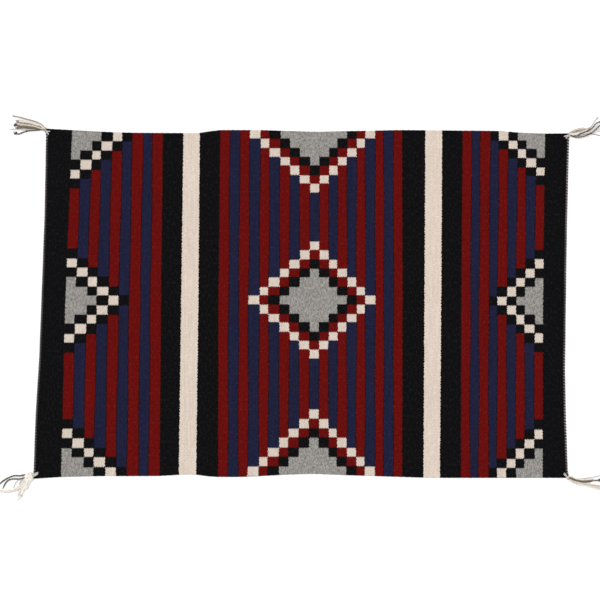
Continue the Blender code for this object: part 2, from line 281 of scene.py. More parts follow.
# One row for each loose yarn end, and one for a strand of painted shade at the top right: its yarn,
# its thickness, its height in the knot, places along it from the tassel's knot, and where it has them how
# high it passes over the strands that it crosses and the small knot near its tip. A Tip is that knot's
# yarn, its width and how far it lies from the strand's end.
Strand = namedtuple("Strand", "yarn size start places lift tip", defaults=(0.0, None))
Tip = namedtuple("Tip", "yarn width back")
Stitch = namedtuple("Stitch", "size bars")
STRANDS = {
    "top_left": [
        ("tan", 3.3, 4.6, [(-3, 6), (-14, 14), (-32, 20), (-54, 26), (-70, 29)],
         0.0, Tip("tan", 4.6, 2.0)),
        ("cream", 4.4, 5.2, [(-8, 7), (-26, 14), (-46, 19), (-61, 20)]),
        ("cream", 4.2, 3.4, [(-9, 5), (-29, 13), (-57, 17)]),
        ("fawn", 3.2, 4.8, [(-7, 4), (-24, 9), (-40, 11), (-53, 14), (-62, 18)],
         0.6, Tip("fawn", 6.6, 2.5)),
        ("sand", 4.4, 4.0, [(-10, 2), (-26, 7), (-41, 9), (-62, 12)]),
        ("brown", 3.2, 3.0, [(-11, 1), (-27, 3), (-43, 5), (-55, 6), (-66, 10)],
         0.8, Tip("dark", 8.4, 1.5)),
        ("fawn", 3.2, 2.4, [(-15, 1), (-39, 3), (-58, 4)]),
        ("brown", 3.0, 3.0, [(-11, 0), (-28, 1), (-46, 3), (-62, 2)], 0.4, Tip("brown", 4.6, 1.5)),
        ("pale", 2.8, 1.8, [(-10, -1), (-40, -1), (-75, 0)]),
        ("dark", 3.4, 3.4, [(-15, -2), (-37, -4), (-48, -7), (-59, -11), (-66, -8)],
         0.0, Tip("dark", 8.0, 2.0)),
    ],
    "top_right": [
        ("pale", 2.2, 4.0, [(10, 6), (32, 13), (41, 13), (47, 17), (54, 28), (61, 36)],
         0.0, Tip("pale", 5.4, 1.5)),
        ("sand", 5.6, 2.8, [(3, 5), (9, 8), (25, 12), (42, 11)]),
        # Painted shade: this darker tan strand lies between the sand and cream strands, where there is only
        # a shadow streak.
        ("tan", 2.8, 3.6, [(4, 3), (17, 6), (30, 7)], 0.8),
        ("cream", 5.0, 3.0, [(5, 0), (21, 3), (43, 9)]),
        ("cream", 5.2, 5.2, [(8, -1), (18, -1), (40, 3), (58, 7), (77, 8)]),
        ("dark", 3.3, 2.2, [(7, -2), (15, -3), (25, 1), (39, 7), (49, 13), (59, 24), (68, 27), (75, 26)],
         3.4, Tip("dark", 4.4, 1.0)),
        ("dark", 3.3, 2.6, [(4, -4), (17, -7), (31, -5), (45, 1), (56, 9), (64, 17), (77, 22)],
         2.8, Tip("dark", 4.4, 1.0)),
        ("grey", 2.2, 1.8, [(18, -3), (43, 1), (56, -1), (75, -5)]),
    ],
    "bottom_left": [
        ("dark", 3.4, 4.4, [(-8, 5), (-20, 3), (-33, 3), (-47, -2), (-58, -9), (-67, -17)]),
        ("dark", 3.4, 3.0, [(-9, -1), (-20, -4), (-33, -4), (-44, -6), (-50, -11), (-57, -23)]),
        ("pale", 2.4, 3.0, [(-11, -3), (-20, -4), (-29, -12), (-34, -22)]),
        ("pale", 2.4, 4.0, [(-10, -3), (-16, -6), (-20, -11), (-21, -17)], 1.0),
        ("cream", 6.4, 4.0, [(-8, -5), (-20, -19), (-33, -28), (-47, -31), (-68, -29)]),
        ("light", 5.2, 4.6, [(-6, -7), (-17, -21), (-29, -28)], 0.6),
        ("cream", 5.8, 4.8, [(-5, -8), (-14, -22), (-22, -34), (-24, -47)], 0.4),
        ("light", 6.2, 5.4, [(-3, -8), (-11, -23), (-17, -36), (-24, -48)],
         0.6, Tip("pale", 9.0, 11.0)),
        ("light", 5.2, 4.4, [(1, -8), (-7, -22), (-10, -28)]),
        ("cream", 4.2, 4.2, [(4, -7), (0, -14), (-4, -24)], 0.0, Tip("pale", 4.8, 1.5)),
        ("fawn", 2.2, 5.4, [(-4, -2), (-8, -4)], 5.8),
    ],
    "bottom_right": [
        ("pale", 2.4, 3.0, [(10, -1), (20, -2), (44, 0), (62, 3), (80, 7)]),
        ("cream", 3.8, 4.0, [(4, 3), (18, -2), (36, -4), (53, -3)]),
        ("brown", 3.2, 4.4, [(4, 0), (16, -5), (36, -8), (55, -6), (70, -5)],
         0.8, Tip("dark", 7.0, 1.5)),
        ("brown", 2.4, 3.4, [(4, -1), (17, -6), (30, -9), (50, -9)], 0.6),
        ("sand", 3.8, 3.4, [(5, -4), (18, -11), (37, -13), (53, -15), (80, -19)]),
        ("cream", 3.2, 2.4, [(7, -6), (27, -14), (51, -18), (80, -23)]),
        ("cream", 3.8, 2.2, [(5, -6), (20, -14), (38, -17), (63, -24), (80, -28)]),
    ],
}

# How a stitch lies on the cloth and rises over its corner, and how and where its end goes down into the
# weave. The lift is a share of its size.
STITCH_STEPS = 14
STITCH_LIFT = 0.42
STITCH_RISE = 0.5
STITCH_DIP = 2.4
STITCH_DIP_AT = 0.84
# Yarns of the stitches over the cloth's corners: thickness, then places from the corner on
STITCHES = {
    "top_left": Stitch(2.9, [[(-2, -4), (2, -6), (8, -6)], [(-2, -5), (1, -8), (5, -13)]]),
    "top_right": Stitch(2.7, [[(1, -3), (-4, -5), (-11, -7)], [(1, -5), (-3, -7), (-7, -11)]]),
    "bottom_left": Stitch(3.0, [[(-4, 7), (2, 10), (10, 14)], [(-4, 4), (3, 7), (10, 11)]]),
    "bottom_right": Stitch(2.0, [[(1, 2), (-3, 6), (-7, 11)], [(0, 0), (-4, 4), (-9, 9)]]),
}

# Colours as 0 to 255 sRGB values, set so that the render's tones come close to the photograph's
BLACK = (7, 7, 9)
RED = (93, 5, 3)
BLUE = (24, 26, 52)
CREAM = (205, 191, 178)
BLOCK_CREAM = (199, 186, 174)
GREY = (137, 134, 130)
TASSEL_YARNS = {
    "white": (210, 204, 202),
    "cream": (223, 216, 205),
    "light": (236, 230, 222),
    "sand": (206, 196, 183),
    "fawn": (150, 138, 125),
    "tan": (161, 154, 146),
    "brown": (110, 97, 79),
    "dark": (86, 79, 73),
    "grey": (149, 149, 146),
    "pale": (196, 194, 190),
}
CORD_DARK = (30, 26, 27)
CORD_LIGHT = {"left": (113, 106, 104), "right": (171, 162, 158)}
FLOOR = (253, 253, 253)

# Charts: the distance at which each colour starts, and the colour. A diamond's distance is counted in
# blocks, across and along, from its middle, and the bands' one in units from the middle unit.
MIDDLE_CHART = [(0, GREY), (4, BLACK), (5, RED), (6, BLOCK_CREAM)]
SIDE_CHART = [(0, GREY), (3, BLACK), (4, BLOCK_CREAM), (5, BLACK)]
BAND_CHART = [(0, BLACK), (12, CREAM), (14, BLACK)]
CHART_LENGTH = 32
# Units from the middle one: the last of the middle panel, and the first and last of a side panel
MIDDLE_PANEL_END = 9
SIDE_PANEL_START = 16
SIDE_PANEL_END = 24
# The farthest blocks of a diamond, beyond which the stripes show
MIDDLE_DIAMOND = 6
SIDE_DIAMOND = 5

# Grain of the wool: a noise stretched across and along the stripes and upwards, its detail and how
# strongly it shows
Grain = namedtuple("Grain", "across along up detail weight")
SWAY = Grain(0.02, 0.05, 0.0, 2.0, 3.0)
EDGE_WANDER = Grain(0.06, 0.03, 0.0, 1.0, 2 * WANDER)
STREAK = Grain(0.33, 0.012, 0.0, 3.0, 0.45)
PATCH = Grain(0.012, 0.006, 0.0, 2.0, 0.16)
FIBRE = Grain(2.6, 0.55, 1.0, 3.0, 0.45)
LINT = Grain(0.30, 0.14, 0.0, 3.0, 0.03)
MOTTLE = Grain(0.42, 0.16, 0.0, 4.0, 1.5)
YARN_PATCH = Grain(0.12, 0.12, 0.12, 2.0, 0.5)
BEAD_TONE = 0.20
HEATHER_BEAD_TONE = 0.55
HEATHER_FIBRE = 0.9
LIGHT_EVENNESS = 0.4
BLUE_UNEVENNESS = 18.0
FIBRE_RELIEF = 0.5
WEAVE_RELIEF = 0.35
YARN_FIBRE_SCALE = 2.4
YARN_FIBRE_DETAIL = 3.0
YARN_RELIEF = 0.25
CORD_SPREAD = 0.5
TASSEL_SPREAD = 0.4

# Roughness, and the little that wool shines
WEAVE_ROUGHNESS = 0.95
YARN_ROUGHNESS = 0.92
FLOOR_ROUGHNESS = 0.9
SHINE = 0.08

# Light: an even white sky and a broad soft sun from the far left, above a wide floor
SKY_STRENGTH = 0.94
SUN_STRENGTH = 1.375
SUN_BREADTH = math.radians(25)
SUN_TILT = math.radians(-28)
FLOOR_HALF = 4000.0

# Camera, in metres: straight above, far away, its middle a little off the cloth's, as in the photograph
CAMERA_HEIGHT = 6.0
CAMERA_PLACE = (-0.0081, 0.0081)
VIEW_WIDTH = 1.32
FARTHEST = 50.0
# The camera's own sensor, in millimetres
SENSOR = 36.0


# Numbers shared by the cloth and what is tied to it


def reach_at(edge, place):
    """The edge's reach at each place, its turns softened over a short run."""
    places, reaches = zip(*edge)
    spread = np.asarray(place, dtype=float)[..., None] + SOFTENED_OVER
    return np.interp(spread, places, reaches).mean(axis=-1)


def smooth_step(amount):
    amount = np.clip(amount, 0.0, 1.0)
    return amount * amount * (3 - 2 * amount)


def drawn_in(to_corner):
    """How far the cloth keeps back from the outline of a warp end, to leave room for its cord."""
    share = (to_corner - DRAW_IN_START) / (CORD_STOP - DRAW_IN_START)
    return (CORD_WIDTH + GAP) * smooth_step(share)


def cloth_point(s, t):
    """A place on the cloth in plan: s from the left end to the right, t from the near side to the far."""
    y = HALF_DEPTH * (2 * t - 1)
    inset = drawn_in(HALF_DEPTH - np.abs(y))
    left = reach_at(LEFT_END, y) + inset
    right = reach_at(RIGHT_END, y) - inset
    x = left + (right - left) * s
    near = reach_at(NEAR_SIDE, x)
    far = reach_at(FAR_SIDE, x)
    return x, near + (far - near) * t


def top_height(x, y):
    """The cloth's upper side rises and dips a little, as handwoven wool does."""
    rise = np.sin(x / LONG_WAVE.along_x + LONG_WAVE.bend * np.sin(y / LONG_WAVE.along_y))
    rise += np.sin(y / CROSS_WAVE.along_y + CROSS_WAVE.bend * np.sin(x / CROSS_WAVE.along_x))
    return THICKNESS + UNEVENNESS * rise / 2


# Cloth


def fanned(shares):
    """Places from 0 at the near side to 1 at the far side, a little wider apart at the near one."""
    return shares + RIB_FAN * shares * (1 - shares)


def stripe_lines(y):
    """X of every line between two units, one row for each place along Y. The ends stay at zero."""
    x = np.zeros((len(y), UNITS + 1))
    for line, places in BAND_LINES.items():
        x[:, line] = np.interp(-y, -STATIONS, places)
    for line in HALVED_BANDS:
        x[:, line] = (x[:, line - 1] + x[:, line + 1]) / 2
    for first, last in EVEN_STRIPES:
        inner = np.arange(first + 1, last)
        shares = (inner - first) / (last - first)
        start = x[:, first, None]
        width = x[:, last, None] - start
        uneven = np.sin(STRIPE_TURN * inner) + np.sin(y[:, None] / WANDER_LENGTH + STRIPE_TURN * inner)
        x[:, inner] = start + width * shares + STRIPE_UNEVENNESS * uneven
    return x


def fitted_ribs(y):
    """The grid's Y, each panel's ribs moved so that the lines between block rows lie between two ribs."""
    nominal = HALF_DEPTH * (2 * fanned(np.arange(RIBS + 1) / RIBS) - 1)
    moves = []
    for panel in PANELS:
        lines = np.array([*panel.near_rows[1:], *panel.middle_rows[::-1], *panel.far_rows[:0:-1]])
        nearest = nominal[np.abs(nominal[:, None] - lines).argmin(axis=0)]
        places = [-HALF_DEPTH, *nearest, HALF_DEPTH]
        moves.append(np.interp(y, places, [0.0, *(lines - nearest), 0.0]))
    left, middle, right = moves
    line = np.arange(UNITS + 1)
    to_left = np.interp(line, LEFT_BLEND, (1.0, 0.0))
    to_right = np.interp(line, RIGHT_BLEND, (0.0, 1.0))
    return y + left * to_left + middle * (1 - to_left - to_right) + right * to_right


def grid_plan(shares, inset):
    """X and Y of the cloth's grid, its outermost rows and lines set in from the outline."""
    y = HALF_DEPTH * (2 * shares - 1)
    pull = drawn_in(HALF_DEPTH - np.abs(y))
    x = stripe_lines(y)
    x[:, 0] = reach_at(LEFT_END, y) + pull + inset
    x[:, -1] = reach_at(RIGHT_END, y) - pull - inset
    near = reach_at(NEAR_SIDE, x) + inset
    far = reach_at(FAR_SIDE, x) - inset
    t = shares[:, None]
    straight = fitted_ribs(HALF_DEPTH * (2 * t - 1))
    return x, straight + (far - HALF_DEPTH) * t**EDGE_PULL + (near + HALF_DEPTH) * (1 - t) ** EDGE_PULL


def block_row(panel, y):
    """How many blocks a place lies from the cloth's edge or from the middle diamond's own middle."""
    far = np.interp(-y, -panel.far_rows, range(len(panel.far_rows)))
    far += np.maximum(panel.far_rows[-1] - y, 0.0) / BLOCK
    near = np.interp(y, panel.near_rows, range(len(panel.near_rows)))
    near += np.maximum(y - panel.near_rows[-1], 0.0) / BLOCK
    count = len(panel.middle_rows)
    middle = np.interp(-y, -panel.middle_rows, range(count)) - (count - 1) / 2
    middle = np.abs(middle) + 0.5
    middle += np.maximum(y - panel.middle_rows[0], 0.0) / BLOCK
    middle += np.maximum(panel.middle_rows[-1] - y, 0.0) / BLOCK
    return np.minimum(np.minimum(far, near), middle)


def rim_ring(rows, lines):
    """The grid's border as rows and lines, anticlockwise seen from above."""
    ring = [(0, c) for c in range(lines - 1)]
    ring += [(r, lines - 1) for r in range(rows - 1)]
    ring += [(rows - 1, c) for c in range(lines - 1, 0, -1)]
    ring += [(r, 0) for r in range(rows - 1, 0, -1)]
    return np.array(ring)


def ring_faces(upper, lower):
    """Faces between rings of point numbers, turned outwards."""
    corners = [lower, np.roll(lower, -1, axis=-1), np.roll(upper, -1, axis=-1), upper]
    return np.stack(corners, axis=-1).reshape(-1, 4)


def on_all_levels(grid_values, rim_values):
    """Values for the upper side's points, each level of the rim and the underside's points."""
    return np.concatenate([grid_values, *[rim_values] * len(RIM_TILTS), grid_values])


def make_blanket(material):
    rows = RIBS * ROWS_PER_RIB + 1
    lines = UNITS + 1
    shares = fanned(np.arange(rows) / (rows - 1))
    valley = np.where(np.arange(rows) % ROWS_PER_RIB == 0, VALLEY, 0.0)[:, None]

    x, y = grid_plan(shares, RIM)
    upper = np.stack([x, y, top_height(x, y) - valley], axis=-1)
    under = np.stack([x, y, np.broadcast_to(valley, x.shape)], axis=-1)
    rim = rim_ring(rows, lines)
    levels = [upper.reshape(-1, 3)]
    for tilt in RIM_TILTS:
        x, y = grid_plan(shares, RIM * (1 - math.cos(math.radians(tilt))))
        x, y = x[rim[:, 0], rim[:, 1]], y[rim[:, 0], rim[:, 1]]
        height = top_height(x, y) / 2 * (1 + math.sin(math.radians(tilt)))
        levels.append(np.column_stack([x, y, height]))
    levels.append(under.reshape(-1, 3))
    points = np.concatenate(levels)

    number = np.arange(rows * lines).reshape(rows, lines)
    under_start = len(points) - rows * lines
    quads = np.stack([number[:-1, :-1], number[:-1, 1:], number[1:, 1:], number[1:, :-1]], axis=-1)
    quads = quads.reshape(-1, 4)
    border = number[rim[:, 0], rim[:, 1]]
    rings = [border]
    for k in range(len(RIM_TILTS)):
        rings.append(rows * lines + k * len(rim) + np.arange(len(rim)))
    rings.append(border + under_start)
    bands = [ring_faces(a, b) for a, b in zip(rings, rings[1:])]
    faces = np.concatenate([quads, quads[:, ::-1] + under_start, *bands])
    piece = new_piece("woven_cloth", points, faces.tolist(), [material])

    # What the weave's shader reads: the unit across, the rib along Y and the block's row
    unit = unit_values()
    grid_line = np.broadcast_to(unit, (rows, lines)).ravel()
    grid_rib = np.repeat(np.arange(rows) / ROWS_PER_RIB, lines)
    rows_of_blocks = grid_rows(upper[:, :, 1])
    on_rim = rows_of_blocks[rim[:, 0], rim[:, 1]]
    add_values(piece, "line", on_all_levels(grid_line, unit[rim[:, 1]]))
    add_values(piece, "rib", on_all_levels(grid_rib, rim[:, 0] / ROWS_PER_RIB))
    add_values(piece, "block_row", on_all_levels(rows_of_blocks.ravel(), on_rim))
    return piece


def grid_rows(y):
    """The block row of each point of the grid; a panel's own rows also reach the units beside it."""
    rows = np.full(y.shape, NO_ROW)
    for panel in PANELS:
        reach = slice(panel.first - 1, panel.last + 2)
        rows[:, reach] = block_row(panel, y[:, reach])
    return rows


def unit_values():
    """The unit that each line starts, with the wide outer bands counted as several units."""
    unit = np.arange(UNITS + 1, dtype=float)
    unit[0] = 1 - OUTER_BAND_UNITS
    unit[-1] = UNITS - 1 + OUTER_BAND_UNITS
    return unit


def make_selvage(side, share, material):
    """The edge along the stripes' ends, where the weft turns back: a round rim of small bumps."""
    edge_x, edge_y = grid_plan(np.array([share]), SELVAGE_HALF)
    x = np.arange(edge_x[0, 0] + BEAD, edge_x[0, -1] - BEAD, BEAD / SELVAGE_STEPS_PER_BEAD)
    swell = SELVAGE_SWELL[np.arange(len(x)) % SELVAGE_STEPS_PER_BEAD]
    bend = SELVAGE_BEND * np.sin(x / SELVAGE_LONG_WAVE)
    drift = SELVAGE_DRIFT * np.sin(x / SELVAGE_WAVE + bend + share)
    y = np.interp(x, edge_x[0], edge_y[0]) + drift
    path = np.column_stack([x, y, np.full(len(x), THICKNESS / 2)])
    rim = tube(path, SELVAGE_HALF * swell, SELVAGE_SIDES, UP)
    piece = new_piece(f"selvage_{side}", rim.points, rim.faces, [material])
    line = np.interp(x, edge_x[0], unit_values())
    add_values(piece, "line", np.repeat(line, SELVAGE_SIDES))
    # The rim takes the middle of the outermost rib and of the outermost row
    add_values(piece, "rib", np.full(len(rim.points), (RIBS - 1) * share + 0.5))
    add_values(piece, "block_row", np.full(len(rim.points), 0.5))
    return piece


# Yarns

Tube = namedtuple("Tube", "points faces fibre")


def unit_rows(vectors):
    return vectors / np.linalg.norm(vectors, axis=1)[:, None]


def lengths_along(path):
    """How far along a path each of its places lies."""
    steps = np.linalg.norm(np.diff(path, axis=0), axis=1)
    return np.concatenate([[0.0], np.cumsum(steps)])


def tube(path, radii, sides, reference, closed=False):
    """A round yarn along a path. The reference is a direction that the path never runs in."""
    path = np.asarray(path, dtype=float)
    radii = np.broadcast_to(radii, len(path))
    if closed:
        forward = np.roll(path, -1, axis=0) - np.roll(path, 1, axis=0)
    else:
        forward = np.gradient(path, axis=0)
    forward = unit_rows(forward)
    across = unit_rows(np.cross(reference, forward))
    lift = np.cross(forward, across)
    turn = math.tau * np.arange(sides) / sides
    spokes = np.cos(turn)[None, :, None] * across[:, None] + np.sin(turn)[None, :, None] * lift[:, None]
    points = path[:, None] + radii[:, None, None] * spokes

    along = lengths_along(path)[:, None] + 0 * turn
    round_x = radii[:, None] * np.cos(turn + along)
    round_y = radii[:, None] * np.sin(turn + along)
    fibre = np.stack([round_x, round_y, along / FIBRE_LENGTH], axis=-1)

    number = np.arange(len(path) * sides).reshape(len(path), sides)
    if closed:
        number = np.vstack([number, number[:1]])
    faces = ring_faces(number[1:], number[:-1]).tolist()
    if not closed:
        faces.append(number[0][::-1].tolist())
        faces.append(number[-1].tolist())
    return Tube(points.reshape(-1, 3), faces, fibre.reshape(-1, 3))


def join_tubes(name, tubes, which, materials):
    """One piece from many tubes; which gives each tube's material."""
    points = np.concatenate([t.points for t in tubes])
    fibre = np.concatenate([t.fibre for t in tubes])
    faces, kinds = [], []
    start = 0
    for t, kind in zip(tubes, which):
        faces += [[start + v for v in face] for face in t.faces]
        kinds += [kind] * len(t.faces)
        start += len(t.points)
    piece = new_piece(name, points, faces, materials)
    piece.data.polygons.foreach_set("material_index", kinds)
    add_values(piece, "fibre", fibre, "FLOAT_VECTOR")
    return piece


def make_edge_cord(side, edge, outwards, materials):
    """Two yarns twined beside a warp end, on a dark yarn; at the corners they run up into the knots."""
    reach = HALF_DEPTH - CORD_TAIL
    count = round(2 * reach / TWIST_PITCH * CORD_STEPS_PER_TURN) + 1
    y = np.linspace(-reach, reach, count)
    to_knot = smooth_step((CORD_STOP - (HALF_DEPTH - np.abs(y))) / (CORD_STOP - CORD_TAIL))
    lean = np.where(y < 0, *CORD_LEANS[side]) * to_knot
    x = reach_at(edge, y) + outwards * (CORD_OUT - CORD_WIDTH / 2 + lean)
    # Y runs a little beyond the nominal depth where the long sides do
    y = y * np.where(y > 0, reach_at(FAR_SIDE, x), -reach_at(NEAR_SIDE, x)) / HALF_DEPTH
    rise = CORD_TAIL_RISE * to_knot
    turn = math.tau * y / TWIST_PITCH
    tubes = []
    for yarn in CORD_YARNS:
        across = outwards * (yarn.across + yarn.swing * np.cos(turn + yarn.phase))
        up = yarn.height + yarn.sink * np.sin(turn + yarn.phase)
        half = yarn.half * (1 + CORD_SWELLING * np.sin(y / CORD_SWELL_LENGTH + yarn.phase))
        half[[0, -1]] *= END_TAPER
        # Each yarn crosses the top almost squarely and slants on the underside
        along = y + CORD_SKEW * np.cos(turn + yarn.phase)
        path = np.column_stack([x + across, along, up + rise])
        tubes.append(tube(path, half, CORD_SIDES, UP))
    cord = join_tubes(f"twined_cord_{side}", tubes, [yarn.material for yarn in CORD_YARNS], materials)
    places, shares = zip(*PALENESS[side])
    pale = np.repeat(np.interp(y, places, shares), CORD_SIDES)
    add_values(cord, "paleness", np.tile(pale, len(CORD_YARNS)))
    return cord


def smooth_path(places, count):
    """A curve through places in plan, evenly stepped along the straight lines between them."""
    places = np.asarray(places, dtype=float)
    steps = np.hypot(*np.diff(places, axis=0).T)
    along = np.concatenate([[0.0], np.cumsum(steps)])
    slopes = np.gradient(places, along, axis=0)
    spot = np.linspace(0, along[-1], count)
    k = np.clip(np.searchsorted(along, spot, side="right") - 1, 0, len(steps) - 1)
    width = steps[k][:, None]
    u = (spot[:, None] - along[k][:, None]) / width
    start, end = places[k], places[k + 1]
    leave, arrive = slopes[k] * width, slopes[k + 1] * width
    return (
        (2 * u**3 - 3 * u**2 + 1) * start
        + (u**3 - 2 * u**2 + u) * leave
        + (3 * u**2 - 2 * u**3) * end
        + (u**3 - u**2) * arrive
    )


def strand_route(knot, strand):
    """Places along a strand's middle line, from the tassel's knot down to the floor."""
    plan = smooth_path([(0.0, 0.0), *strand.places], STRAND_STEPS) + np.asarray(knot)
    t = np.linspace(0, 1, STRAND_STEPS)
    lowest = LOWEST * strand.size
    fall = 1 - smooth_step(t / FALLEN_AT)
    hump = strand.lift * smooth_step(t / LIFTED_AT) * smooth_step((1 - t) / SET_DOWN_OVER)
    return np.column_stack([plan, lowest + max(strand.start - lowest, 0.0) * fall + hump])


def make_plies(route, size, phase):
    """Two plies of yarn that turn round each other along a route."""
    along = lengths_along(route)
    turns = along[-1] / (PLY_PITCH * size)
    count = max(int(turns * PLY_STEPS_PER_TURN), PLY_LEAST_STEPS)
    place = np.linspace(0, along[-1], count)
    middle = np.column_stack([np.interp(place, along, route[:, k]) for k in range(3)])
    forward = unit_rows(np.gradient(middle, axis=0))
    across = unit_rows(np.cross(UP, forward))
    lift = np.cross(forward, across)
    turn = math.tau * place / (PLY_PITCH * size) + phase
    unevenness = 1 + PLY_SWELLING * np.sin(place / PLY_SWELL_LENGTH + phase)
    unevenness = unevenness + PLY_RIPPLE * np.sin(place / PLY_RIPPLE_LENGTH + 2 * phase)
    plies = []
    for shift in (0.0, math.pi):
        offset = np.cos(turn + shift)[:, None] * across + np.sin(turn + shift)[:, None] * lift
        radii = PLY_HALF * size * unevenness
        radii[-1] *= PLY_END
        plies.append(tube(middle + PLY_OFFSET * size * offset, radii, PLY_SIDES, UP))
    return plies


def make_tip_knot(route, size, tip):
    """A small overhand knot near a strand's tip: a short coil wound close round it."""
    from_end = lengths_along(route[::-1])[::-1]
    place = int(np.abs(from_end - tip.back).argmin())
    forward = unit_rows(np.gradient(route, axis=0))[place]
    forward[2] = 0.0
    across = np.cross(UP, forward)
    coil = max(KNOT_COIL * tip.width, (tip.width - size) / 4)
    ring = tip.width / 2 - coil
    ring_height = KNOT_FLATTENED * ring
    middle = np.array([*route[place, :2], max(route[place, 2], ring_height + coil)])
    turn = np.linspace(0, KNOT_TURNS * math.tau, KNOT_STEPS)
    slide = np.linspace(-0.5, 0.5, KNOT_STEPS) * KNOT_LENGTH * tip.width
    slant = KNOT_SLANT * tip.width * np.sin(turn + KNOT_SLANT_PHASE)
    path = middle + (slide + slant)[:, None] * forward + ring * np.cos(turn)[:, None] * across
    path[:, 2] += ring_height * np.sin(turn)
    radii = np.full(KNOT_STEPS, coil)
    radii[[0, -1]] *= END_TAPER
    return tube(path, radii, PLY_SIDES, forward)


def make_fray(route, size, chance):
    """Loose fibres beyond a strand's tip."""
    end = route[-1]
    forward = end - route[-1 - TIP_STEPS]
    forward = forward / np.linalg.norm(forward)
    across = np.cross(UP, forward)
    hairs = []
    for _ in range(HAIRS):
        length = chance.uniform(*HAIR_LENGTHS)
        aside = chance.uniform(*HAIR_TURNS)
        t = np.linspace(0, 1, HAIR_STEPS)[:, None]
        path = end + t * length * forward + (t * aside + t * t * aside) * length * across
        height = end[2] * (1 - t[:, 0]) + chance.uniform(*HAIR_HEIGHTS)
        path[:, 2] = np.maximum(height, HAIR_LOWEST)
        hairs.append(tube(path, np.linspace(HAIR_ROOT, HAIR_TIP, HAIR_STEPS), HAIR_SIDES, UP))
    return hairs


def make_knot(corner, knot, axis):
    """The tassel's knot: yarn wound round a small core, tightest at its two ends."""
    half = np.array([corner.half_x, corner.half_y, corner.half_z])
    middle = np.array([knot[0], knot[1], corner.half_z])
    side = np.array([-axis[1], axis[0], 0.0])
    length = abs(axis[0]) * half[0] + abs(axis[1]) * half[1]
    width = abs(side[0]) * half[0] + abs(side[1]) * half[1]
    loops = []
    core_t = np.linspace(-CORE_REACH, CORE_REACH, CORE_STEPS)
    core = middle + core_t[:, None] * length * axis
    core_radii = np.sqrt(1 - core_t**2) * min(width, half[2]) * CORE_SHARE
    loops.append(tube(core, core_radii, CORE_SIDES, UP))
    yarn = COIL_SHARE * length
    turn = np.linspace(0, math.tau, LOOP_STEPS, endpoint=False)
    for k, place in enumerate(LOOP_PLACES):
        girth = math.sqrt(1 - place * place * LOOP_ROUNDNESS)
        lean = LOOP_LEAN * (-1) ** k
        path = middle + place * length * axis
        path = path + np.cos(turn)[:, None] * (width * girth - yarn) * side
        path = path + np.sin(turn)[:, None] * (half[2] * girth - yarn) * UP
        path = path + np.cos(turn + k)[:, None] * lean * yarn * 2 * axis
        loops.append(tube(path, yarn, LOOP_SIDES, axis, closed=True))
    return loops


def make_stitch(corner_place, stitch):
    """Yarns from the knot over the cloth's corner, where they go down into the weave."""
    yarns = []
    for k, bar in enumerate(stitch.bars):
        plan = smooth_path(bar, STITCH_STEPS) + np.asarray(corner_place)
        t = np.linspace(0, 1, STITCH_STEPS)
        height = THICKNESS + STITCH_LIFT * stitch.size + STITCH_RISE * np.sin(math.pi * t)
        height -= STITCH_DIP * smooth_step((t - STITCH_DIP_AT) / (1 - STITCH_DIP_AT))
        yarns += make_plies(np.column_stack([plan, height]), stitch.size, k)
    return yarns


def make_tassel(corner, materials):
    """A knot, its stitch over the cloth's corner and its loose strands, as one tied piece."""
    x, y = cloth_point(corner.column, float(corner.row))
    knot = (float(x) + corner.knot_x, float(y) + corner.knot_y)
    kinds = list(TASSEL_YARNS)
    chance = np.random.default_rng(len(corner.name))
    tubes, which = [], []

    def add(new_tubes, yarn):
        tubes.extend(new_tubes)
        which.extend([kinds.index(yarn)] * len(new_tubes))

    strands = [Strand(*row) for row in STRANDS[corner.name]]
    mean = np.mean([s.places[-1] for s in strands], axis=0)
    axis = np.array([*(mean / np.hypot(*mean)), 0.0])
    wound = make_knot(corner, knot, axis)
    for loop, yarn in zip(wound, KNOT_YARNS[corner.name]):
        add([loop], yarn)
    add(make_stitch((float(x), float(y)), STITCHES[corner.name]), "white")
    for k, strand in enumerate(strands):
        route = strand_route(knot, strand)
        add(make_plies(route, strand.size, PLY_PHASE * k), strand.yarn)
        if strand.tip:
            add([make_tip_knot(route, strand.size, strand.tip)], strand.tip.yarn)
        add(make_fray(route, strand.size, chance), strand.yarn)
    return join_tubes(f"yarn_tassel_{corner.name}", tubes, which, materials)


# Meshes


def new_object(name, data):
    """An object in the scene that shows a mesh, a light or a camera."""
    thing = bpy.data.objects.new(name, data)
    bpy.context.scene.collection.objects.link(thing)
    return thing


def new_piece(name, points, faces, materials):
    """A smooth-shaded mesh object from points in millimetres."""
    mesh = bpy.data.meshes.new(name)
    mesh.from_pydata((points * MM).tolist(), [], faces)
    mesh.shade_smooth()
    for material in materials:
        mesh.materials.append(material)
    return new_object(name, mesh)


def add_values(piece, name, values, kind="FLOAT"):
    """Values for each point of a piece, which its material reads by name."""
    attribute = piece.data.attributes.new(name, kind, "POINT")
    field = "vector" if kind == "FLOAT_VECTOR" else "value"
    attribute.data.foreach_set(field, np.asarray(values, dtype=np.float32).ravel())


# Materials


def linear(colour):
    """Linear red, green, blue and alpha from 0 to 255 sRGB values."""
    shares = [c / 255 for c in colour]
    return (*[s / 12.92 if s <= 0.04045 else ((s + 0.055) / 1.055) ** 2.4 for s in shares], 1.0)


